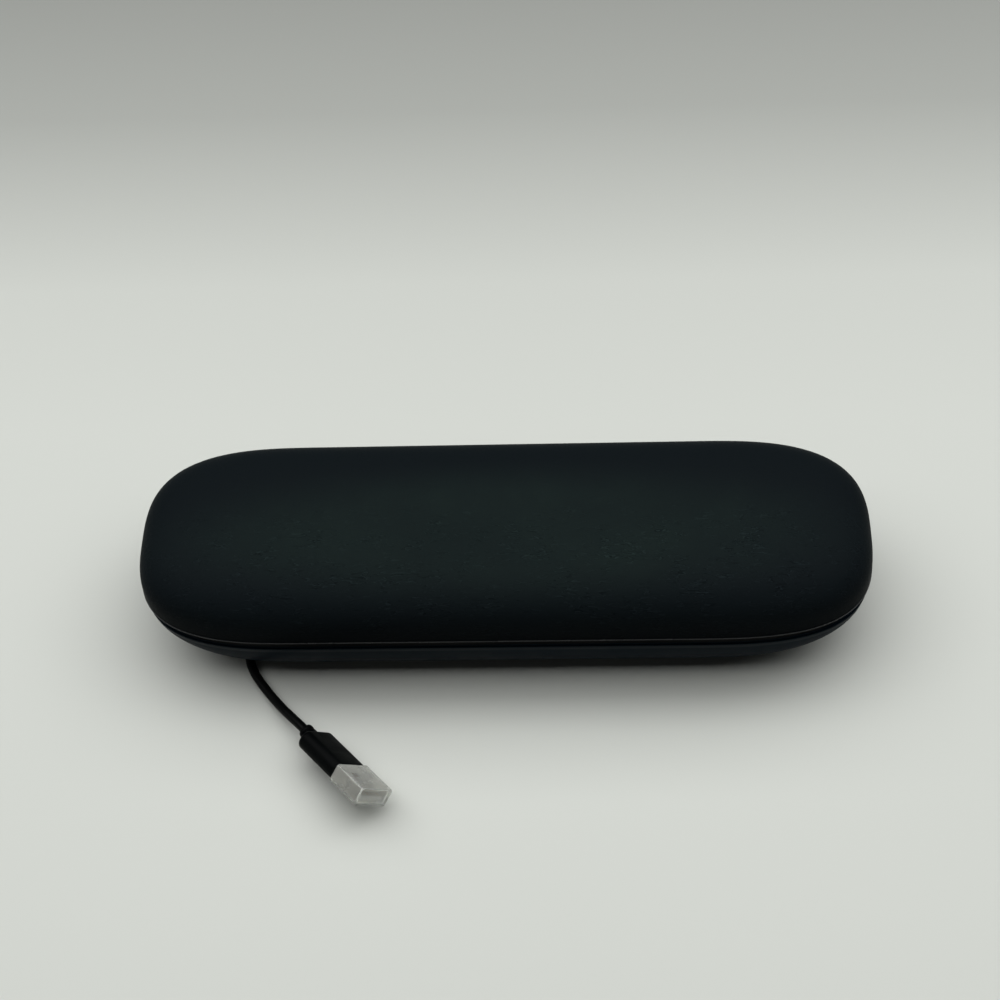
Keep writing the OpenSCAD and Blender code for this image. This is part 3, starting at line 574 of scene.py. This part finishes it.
NICKEL = finish("nickel", (0.66, 0.65, 0.63), (0.76, 0.75, 0.73), 0.22, 0.2, 0.002, metallic=1.0)
COPPER = finish("copper", (0.50, 0.17, 0.07), (0.66, 0.27, 0.12), 0.3, 0.16, 0.02, metallic=1.0)
BOBBIN = finish("bobbin", (0.60, 0.57, 0.48), (0.68, 0.65, 0.56), 0.5, 0.4, 0.01)
FERRITE = finish("ferrite", (0.030, 0.030, 0.032), (0.050, 0.050, 0.052), 0.62, 0.25, 0.02)
WIRE = finish("wire", (0.36, 0.015, 0.012), (0.46, 0.022, 0.016), 0.42, 0.3, 0.006)
BOARD = finish("board", (0.010, 0.090, 0.035), (0.016, 0.125, 0.052), 0.3, 0.6, 0.01, patches=2)
CHIPS = finish("chips", (0.012, 0.012, 0.012), (0.020, 0.020, 0.020), 0.5, 0.2, 0.01)
CABLE = finish("cable", (0.0010, 0.0013, 0.0014), (0.0016, 0.0020, 0.0021), 0.46, 0.35, 0.012,
               specular=0.08, patches=12)
GRIP = finish("grip", (0.0011, 0.0015, 0.0016), (0.0017, 0.0022, 0.0023), 0.5, 0.28, 0.014,
              specular=0.04, patches=9)
PLUG_METAL = finish("plug_metal", (0.68, 0.67, 0.62), (0.77, 0.76, 0.71), 0.36, 0.2, 0.003,
                    metallic=1.0, patches=8)
INSULATOR = finish("insulator", (0.62, 0.62, 0.60), (0.70, 0.70, 0.68), 0.45, 0.3, 0.006)
GOLD = finish("gold", (0.75, 0.50, 0.18), (0.85, 0.60, 0.25), 0.28, 0.2, 0.003, metallic=1.0)
CAP = cap_finish()
LINER = cloth_finish("liner", (0.030, 0.032, 0.035), (0.058, 0.061, 0.066), 0.25)
FOAM = cloth_finish("foam", (0.045, 0.047, 0.050), (0.080, 0.083, 0.088), 0.4)

# The solids that are seen as they are, by their finish
NODE_FINISHES = [
    (LID_CORE, ["lid_shell"]),
    (FRAME_BLACK_AND_PAINTED_SHADE, ["lid_frame", "base_frame"]),
    (NICKEL, ["lid_magnets", "base_magnets"]),
    (BLACK_RUBBER, ["rim_seal", "rest_pad", "side_feet", "cable_gland"]),
    (STEEL, ["hinge_pin", "board_screws", "bottom_screws"]),
    (TRAY, ["inner_tray", "handle_trough", "head_troughs"]),
    (GREY_RUBBER, ["handle_rests"]),
    (CUP, ["charging_cup", "coil_back"]),
    (COPPER, ["charging_coil"]),
    (BOBBIN, ["coil_bobbin"]),
    (FERRITE, ["coil_core"]),
    (BOARD, ["circuit_board"]),
    (CHIPS, ["board_parts"]),
    (SHELL_BLACK, ["bottom_plate"]),
    (PLUG_METAL, ["plug_shell"]),
    (INSULATOR, ["plug_tongue"]),
    (GOLD, ["plug_contacts"]),
]
for node_finish, node_names in NODE_FINISHES:
    for node_name in node_names:
        for material_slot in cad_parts[node_name].material_slots:
            material_slot.material = node_finish


# The case's outline

END_STEPS = 36
SIDE_STEPS = 24


def places(breaks=()):
    """Places round the case, each a share of the straight side and a polar angle of the end."""
    near = {round(s * b / (SIDE_L / 2), 6) for b in breaks for s in (-1, 1)}
    even = {round(-1 + 2 * i / SIDE_STEPS, 6) for i in range(1, SIDE_STEPS)}
    clear = {t for t in even if all(abs(t - b) > 0.6 / SIDE_STEPS for b in near)}
    straight = sorted(clear | near)
    found = []
    for side, middle in ((1, 0), (-1, 180)):
        found += [(side, middle + 90 * i / END_STEPS) for i in range(-END_STEPS, END_STEPS + 1)]
        found += [(-side * t, middle + 90) for t in straight]
    return found


def outline_point(place, inset, kx, ky, z):
    """Point of the case's outline, drawn in by an inset and scaled towards the middle."""
    side, angle = place
    c, s = math.cos(math.radians(angle)), math.sin(math.radians(angle))
    r = (abs(c) ** END_POWER + abs(s) ** END_POWER) ** (-1 / END_POWER)
    if abs(side) < 1:
        c, s, r = 0, math.copysign(1, s), 1
    x = side * SIDE_L / 2 + (END_X - inset) * kx * r * c
    y = (END_Y - inset) * ky * r * s
    return Vector((x, y, z))


def curve_point(power, angle):
    """Point of a curve between an ellipse and a box, squarer for a higher power."""
    c, s = math.cos(math.radians(angle)), math.sin(math.radians(angle))
    r = (abs(c) ** power + abs(s) ** power) ** (-1 / power)
    return r * c, r * s


def curve_height(power, share):
    """The curve's height at a share of its width, or its width at a share of its height."""
    return (1 - share ** power) ** (1 / power)


def step(low, high, value):
    """Smooth step from 0 at low to 1 at high."""
    t = min(max((value - low) / (high - low), 0), 1)
    return t * t * (3 - 2 * t)


NOTCH_BREAKS = [HINGE_HALF + d * MM for d in (-0.5, -0.25, 0, 0.25, 0.5)]


def along_back(place):
    """Whether a place lies on the straight side at the back."""
    side, angle = place
    return abs(side) < 1 and math.sin(math.radians(angle)) > 0


def in_notch(place):
    """How far a place lies in the hinge's opening, 0 outside it and 1 inside."""
    if not along_back(place):
        return 0
    return 1 - step(HINGE_HALF - 0.5 * MM, HINGE_HALF + 0.5 * MM, abs(place[0]) * SIDE_L / 2)


def outline_ring(around, inset, z, shift=0.0, kx=1, ky=1):
    """Ring of the outline's points at a height, shifted up by shift in the hinge's opening."""
    return [outline_point(p, inset, kx, ky, z + shift * in_notch(p)) for p in around]


# The lid's skins

# The dome's rings, in degrees up from its edge, closer where its wall is steep
DOME_ANGLES = [0.6, 1.5, 3, 5, 7, *range(10, 89, 3)]


def dome_rings(around, inset, from_z, lift=0.0):
    """Rings of the lid's dome from its edge to its crown, raised by lift in the hinge's opening."""
    rise = LID_H - inset + COVER_INSET
    fade = 6 * MM
    curve = [curve_point(LID_POWER, angle) for angle in DOME_ANGLES]
    profile = [(k, LID_EDGE + rise * h) for k, h in curve]
    profile = [(k, z) for k, z in profile if z > from_z + 0.1 * MM] + [(0, LID_EDGE + rise)]
    if from_z > LID_EDGE:
        profile.insert(0, (curve_height(LID_POWER, (from_z - LID_EDGE) / rise), from_z))
    rings = []
    for k, z in profile:
        up = lift * (1 - step(0, fade, z - LID_EDGE))
        rings.append(outline_ring(around, inset, z, up, k, k))
    return rings


def leather_cover():
    """The leather skin, rolled under at its lower edge."""
    around = places(NOTCH_BREAKS)
    lift = HINGE_TOP - LID_EDGE
    start = LID_EDGE + 0.35 * MM
    lip = quarter((0, 0.3), (0.3, 0), 4) + quarter((0.62, 0), (0.9, 0.22), 3, level_first=True)
    rolled = [outline_ring(around, COVER_INSET + inward * MM, LID_EDGE + up * MM, lift)
              for inward, up in lip]
    outer = dome_rings(around, COVER_INSET, start, lift)
    inner = dome_rings(around, COVER_INSET + COVER_T, start, lift)
    bm = bmesh.new()
    loft(bm, outer[::-1] + rolled + inner)
    return keep("leather_cover", bm)


def lid_liner():
    """The flocked liner inside the lid."""
    around = places()
    outer = dome_rings(around, LINER_INSET, FRAME_TOP)
    inner = dome_rings(around, LINER_INSET + LINER_T, FRAME_TOP)
    bm = bmesh.new()
    loft(bm, outer[::-1] + inner)
    return keep("lid_lining", bm)


def lid_trim():
    """The bright bead along the lid's edge, with a groove under it, open at the hinge."""
    near_hinge = HINGE_HALF - 0.001 * MM
    around = places(NOTCH_BREAKS)
    kept = [p for p in around if not along_back(p) or abs(p[0]) * SIDE_L / 2 >= near_hinge]
    left_of_gap = next(i for i, p in enumerate(kept) if along_back(p) and p[0] < 0)
    run = kept[left_of_gap:] + kept[:left_of_gap]
    r = 0.08 * MM
    nose = TRIM_H - BEAD_H / 2
    profile = (quarter((GROOVE + r, 0), (GROOVE, r), 4, level_first=True)
               + [(GROOVE, TRIM_H - BEAD_H)]
               + quarter((BEAD_H / 2, TRIM_H - BEAD_H), (0, nose), 4, level_first=True)
               + quarter((0, nose), (BEAD_H / 2, TRIM_H), 4)
               + quarter((TRIM_W - r, TRIM_H), (TRIM_W, TRIM_H - r), 4, level_first=True)
               + quarter((TRIM_W, r), (TRIM_W - r, 0), 4))
    rings = [[outline_point(p, inward, 1, 1, trim_low.z + up) for inward, up in profile]
             for p in run]
    bm = bmesh.new()
    loft(bm, rings, capped=True)
    return keep("trim_strip", bm)


def foam_pad(name, middle_x):
    """Foam block with rounded edges, fitted to the liner above and to the handle below."""
    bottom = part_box("lid_pads")[0].z
    inset = LINER_INSET + LINER_T + 0.15 * MM
    rise = LID_H - inset + COVER_INSET
    round_off = 0.2
    draw_in = 0.15 * MM
    bm = bmesh.new()
    bmesh.ops.create_cube(bm, size=2)
    bmesh.ops.subdivide_edges(bm, edges=bm.edges[:], cuts=11, use_grid_fill=True)
    for v in bm.verts:
        u, w, h = v.co
        swell = 1 - round_off * (u ** 8 + w ** 8)
        x = middle_x + u * (PAD_L / 2 - draw_in * h * h)
        y = (PAD_FRONT + PAD_BACK) / 2 + w * ((PAD_BACK - PAD_FRONT) / 2 - draw_in * h * h)
        share = min(abs(y) / (END_Y - inset), 1)
        top = LID_EDGE + rise * curve_height(LID_POWER, share)
        across = HANDLE_R ** 2 - (y - HANDLE_Y) ** 2
        low = max(bottom, HANDLE_Z + math.sqrt(max(across, 0)))
        middle, half = (top + low) / 2, (top - low) / 2
        v.co = (x, y, middle + h * half * swell)
    made = keep(name, bm, 180)
    soft = made.modifiers.new("soften", "SUBSURF")
    soft.levels = 1
    soft.render_levels = 1
    return made


# The base

def base_share(inset, z):
    """How far the base's wall stands out at a height, as a share of its width at the rim."""
    return curve_height(BASE_POWER, (BASE_RIM - z) / (BASE_DEPTH - inset + BASE_INSET))


def bowl_rings(around, inset, floor_z, steps, drop):
    """Rings of the base from its flat floor to its rim, lowered by drop in the hinge's opening."""
    rings = []
    fade = 9 * MM
    for i in range(steps + 1):
        z = floor_z + (BASE_RIM - floor_z) * (i / steps)
        k = base_share(inset, z)
        down = drop * step(BASE_RIM - fade, BASE_RIM, z)
        rings.append(outline_ring(around, inset, z, -down, k ** BASE_TAPER, k))
    return rings


def stadium_ring(around, r, z):
    """Ring of the round-ended opening in the base's floor."""
    ring = []
    for side, angle in around:
        a = math.radians(angle)
        across = r * math.cos(a) if abs(side) == 1 else 0
        ring.append(Vector((side * LANE_X + across, r * math.sin(a), z)))
    return ring


def cut_away(piece, place):
    """Takes a box, a matrix on a unit cube, out of a piece."""
    bm = bmesh.new()
    bmesh.ops.create_cube(bm, size=1, matrix=place)
    cutter = keep("cutter", bm)
    cut = piece.modifiers.new("cut", "BOOLEAN")
    cut.operation = "DIFFERENCE"
    cut.solver = "EXACT"
    cut.object = cutter
    bpy.context.view_layer.objects.active = piece
    bpy.ops.object.modifier_apply(modifier=cut.name)
    bpy.data.objects.remove(cutter)
    bm = bmesh.new()
    bm.from_mesh(piece.data)
    shade(bm, 30)
    bm.to_mesh(piece.data)
    bm.free()


def base_bowl():
    """The base's shell: a rounded rim, a wall that draws in, a flat floor, the cable's way out."""
    around = places(NOTCH_BREAKS)
    drop = BASE_RIM - HINGE_BOTTOM
    wall_in = BASE_INSET + BASE_WALL
    hole_r = PLATE_R + 0.15 * MM
    outer = bowl_rings(around, BASE_INSET, BASE_Z, 26, drop)[:-2]
    inner = bowl_rings(around, wall_in, BASE_Z + BASE_WALL, 20, drop)[:-1]
    rim = (quarter((0, -1.05), (0.26, -0.79), 4)
           + [(0.54, -0.79), (0.6, -0.73), (0.6, -0.06), (0.66, 0)]
           + quarter((1.25, 0), (1.6, -0.4), 3, level_first=True))
    rounded = [outline_ring(around, BASE_INSET + inward * MM, BASE_RIM + up * MM, -drop)
               for inward, up in rim]
    hole_top = stadium_ring(around, hole_r, BASE_Z + BASE_WALL)
    hole_foot = stadium_ring(around, hole_r, BASE_Z)
    bm = bmesh.new()
    loft(bm, [hole_top, hole_foot] + outer + rounded + inner[::-1] + [hole_top])
    made = keep("base_bowl", bm, 30)
    slot_l, slot_w, slot_top = 41.5 * MM, CABLE_D + 1.2 * MM, 4.9 * MM
    turned = Matrix.Rotation(math.radians(EXIT_ANGLE + 90), 4, "Z")
    along = Matrix.Translation((slot_l / 2 - 1.5 * MM, 0, (slot_top - MM) / 2))
    size = Matrix.Diagonal((slot_l, slot_w, slot_top + MM, 1))
    cut_away(made, Matrix.Translation(exit_point()[0]) @ turned @ along @ size)
    return made


# The plug

def rounded_ring(x, w, h, r, per_corner=8):
    """Ring across the plug's axis: a rectangle whose corners are rounded to r."""
    ring = []
    for sy, sz, start in ((1, 1, 0), (-1, 1, 90), (-1, -1, 180), (1, -1, 270)):
        for i in range(per_corner + 1):
            a = math.radians(start + 90 * i / per_corner)
            y = sy * (w / 2 - r) + r * math.cos(a)
            z = sz * (h / 2 - r) + r * math.sin(a)
            ring.append(Vector((x, y, z)))
    return ring


def eased_end(face, along, size, ease, steps):
    """Sections that round an end off, from its face to its full size."""
    width, height, corner = size
    side, top, round_off = ease
    return [(x, width - 2 * side * share, height - 2 * top * share, corner - round_off * share)
            for x, share in quarter((face, 1), (face + along, 0), steps)]


def plug_grip():
    """The moulded grip, in millimetres: a collar and a neck at the cable, then an eased block."""
    collar, neck, block = (4.8, 4.8, 2.4), (4.6, 4.6, 2.3), (13.3, 6.2, 2.6)
    back, mouth = -GRIP_L / MM, 0
    tail = back - RELIEF_L / MM
    sections = (eased_end(tail, 0.45, collar, (0.55, 0.55, 0.55), 3)
                + eased_end(tail + 1.6, -0.45, collar, (0.3, 0.3, 0.3), 3)[::-1]
                + eased_end(tail + 1.78, 0.27, neck, (0.2, 0.2, 0.2), 2)
                + [(back - 0.3, 4.7, 4.7, 2.35), (back - 0.06, 4.9, 4.9, 2.4)]
                + [(back, 5.3, 5.0, 2.3)]
                + eased_end(back, 1.4, block, (1.1, 0.85, 0.7), 5)
                + eased_end(mouth, -0.5, block, (0.3, 0.3, 0.25), 3)[::-1])
    bm = bmesh.new()
    loft(bm, [rounded_ring(x * MM, w * MM, h * MM, r * MM) for x, w, h, r in sections], capped=True)
    bmesh.ops.transform(bm, matrix=plug_frame(), verts=bm.verts)
    return keep("grip", bm, 35)


def plug_cap():
    """The translucent cap: a rounded box with crisp edges, open at the plug's mouth."""
    mouth = 0.1 * MM
    flare = 0.15 * MM
    narrowing = 0.25 * MM
    corner, inner_corner = 0.7 * MM, 0.3 * MM
    w, h = PLUG_W + 2 * CAP_GAP, PLUG_H + 2 * CAP_GAP
    outer_w, outer_h = w + 2 * CAP_WALL, h + 2 * CAP_WALL
    deep = PLUG_L + 2 * CAP_GAP
    tip = deep + CAP_END
    inner = [(deep, w - 2 * narrowing, h - 2 * narrowing, inner_corner),
             (deep - narrowing, w, h, inner_corner),
             (mouth + flare, w, h, inner_corner),
             (mouth, w + 0.2 * MM, h + 0.2 * MM, inner_corner + 0.1 * MM)]
    front = quarter((mouth, 0.3 * MM), (mouth + 0.26 * MM, 0), 3)
    back = quarter((tip, 0.52 * MM), (tip - 0.56 * MM, 0), 4)[::-1]
    outer = [(x, outer_w - 2 * d, outer_h - 2 * d, corner - d / 2) for x, d in front + back]
    bm = bmesh.new()
    loft(bm, [rounded_ring(*section) for section in inner + outer], capped=True)
    bmesh.ops.transform(bm, matrix=plug_frame(), verts=bm.verts)
    return keep("cap", bm, 50)


# The leads inside the base

def lead_runs():
    """Routes of the charging coil's two leads and of the cable's inner end, to the board."""
    cup_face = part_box("charging_cup")[0].x
    board_low, board_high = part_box("circuit_board")
    gland_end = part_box("cable_gland")[1].x
    turn = math.radians(-30)
    coil_runs = []
    for shift in (-0.45, 0.45):
        x = cup_face + (3.65 + shift) * MM
        down = [Vector((x, HANDLE_Y + r * MM * math.cos(turn), HANDLE_Z + r * MM * math.sin(turn)))
                for r in (8.5, 10.5, 14.0)]
        across = [Vector((x - dx * MM, board_low.y + dy * MM, board_high.z + dz * MM))
                  for dx, dy, dz in ((1, 0.5, 1.9), (3, 2.0, 0.7), (4.5, 3.2, 0.5))]
        coil_runs.append(down + across)
    stop = board_low.x + 6 * MM
    run = stop - gland_end
    lead_y = (board_low.y + board_high.y) / 2
    under = board_low.z - 1.3 * MM
    climb = ((0, LANE_Z), (2, LANE_Z), (4.2, LANE_Z + 1.2 * MM), (6, LANE_Z + 3 * MM),
             (8.2, under - 0.3 * MM), (11, under))
    power_run = [Vector((gland_end + x * MM, LANE_R, z)) for x, z in climb]
    power_run += [Vector((gland_end + 0.65 * run, LANE_R + 0.5 * MM, under)),
                  Vector((gland_end + 0.82 * run, lead_y - 0.5 * MM, under)),
                  Vector((stop - 2.2 * MM, lead_y, under)), Vector((stop, lead_y, under))]
    return coil_runs, power_run


# Putting the object together

attach(cable, "base", "cable", CABLE, "stored_cable", "cable_tail")
grip = attach(plug_grip(), "base", "grip", GRIP, "plug_grip")
cap = attach(plug_cap(), "cap", "cap_plastic", CAP, "plug_cap")

attach(leather_cover(), "lid", "leather", LEATHER, "lid_cover")
strip = attach(lid_trim(), "lid", "trim", TRIM, "lid_trim")
# Below the bead, the trim takes the near-black frame finish: painted shade in its groove
refinish(strip, FRAME_BLACK_AND_PAINTED_SHADE, trim_low.z - MM, trim_high.z - BRIGHT_H)
attach(lid_liner(), "lid", "liner", LINER, "lid_liner")
pad_low, pad_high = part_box("lid_pads")
pad_middles = {"foam_pad_left": pad_low.x + PAD_L / 2, "foam_pad_right": pad_high.x - PAD_L / 2}
for pad_name, pad_x in pad_middles.items():
    attach(foam_pad(pad_name, pad_x), "lid", "foam", FOAM, "lid_pads")
bowl = attach(base_bowl(), "base", "shell_plastic", SHELL_BLACK, "base_shell")
# The band below the rim takes the lighter black: a painted highlight
refinish(bowl, PAINTED_HIGHLIGHT_BAND, HIGHLIGHT_BAND_FOOT, HIGHLIGHT_BAND_TOP)
coil_runs, power_run = lead_runs()
for lead_name, lead_run in zip(("coil_lead_left", "coil_lead_right"), coil_runs):
    coil_lead = cable_curve(lead_name, smooth_route(lead_run, 6), 0.8 * MM)
    attach(coil_lead, "base", "wire", WIRE, "coil_leads")
inner_lead = cable_curve("inner_lead", smooth_route(power_run, 6), 2.0 * MM)
attach(inner_lead, "base", "cable", CABLE, "power_lead")


# Floor, light and world

def make_floor():
    """Pale floor, with painted shade that darkens it behind the case, where the light falls off."""
    bm = bmesh.new()
    bmesh.ops.create_grid(bm, x_segments=8, y_segments=8, size=3)
    floor = keep("floor", bm)
    made, shader = principled("floor", 0.7, specular=0.2)
    tree = made.node_tree
    place = tree.nodes.new("ShaderNodeTexCoord")
    split = tree.nodes.new("ShaderNodeSeparateXYZ")
    share = add(tree, "ShaderNodeMapRange")
    share.inputs["From Min"].default_value = -0.2
    share.inputs["From Max"].default_value = 0.4
    ramp = tree.nodes.new("ShaderNodeValToRGB")
    tree.links.new(place.outputs["Object"], split.inputs[0])
    tree.links.new(split.outputs["Y"], share.inputs["Value"])
    tree.links.new(share.outputs[0], ramp.inputs["Fac"])
    # Painted shade: the floor's tone falls towards the back, standing in for the light's falloff
    pale = Vector((0.62, 0.64, 0.60))
    painted_falloff_stops = ((0.15, 1.0), (0.45, 0.955), (0.56, 0.885), (0.71, 0.57), (0.83, 0.46))
    for i, (reach, level) in enumerate(painted_falloff_stops):
        stop = ramp.color_ramp.elements[i] if i < 2 else ramp.color_ramp.elements.new(reach)
        stop.position = reach
        stop.color = (*(level * pale), 1)
    tree.links.new(ramp.outputs["Color"], shader.inputs["Base Color"])
    floor.data.materials.append(made)


def area_light(name, place, size_x, size_y, power):
    """A soft panel that faces straight down."""
    data = bpy.data.lights.new(name, "AREA")
    data.shape = "RECTANGLE"
    data.size = size_x
    data.size_y = size_y
    data.energy = power
    lamp = bpy.data.objects.new(name, data)
    bpy.context.scene.collection.objects.link(lamp)
    lamp.location = place


def make_world(strength):
    """A faint, even light from all round."""
    world = bpy.data.worlds.new("studio")
    world.use_nodes = True
    sky = world.node_tree.nodes["Background"]
    sky.inputs["Color"].default_value = (0.95, 0.97, 0.96, 1)
    sky.inputs["Strength"].default_value = strength
    bpy.context.scene.world = world


make_floor()
area_light("window", (0, 0.40, 1.2), size_x=3.6, size_y=1.7, power=34.5)
area_light("ceiling", (0, 0.34, 1.2), size_x=2.4, size_y=0.45, power=5.4)
make_world(0.03)
bpy.context.scene.view_settings.view_transform = "Standard"
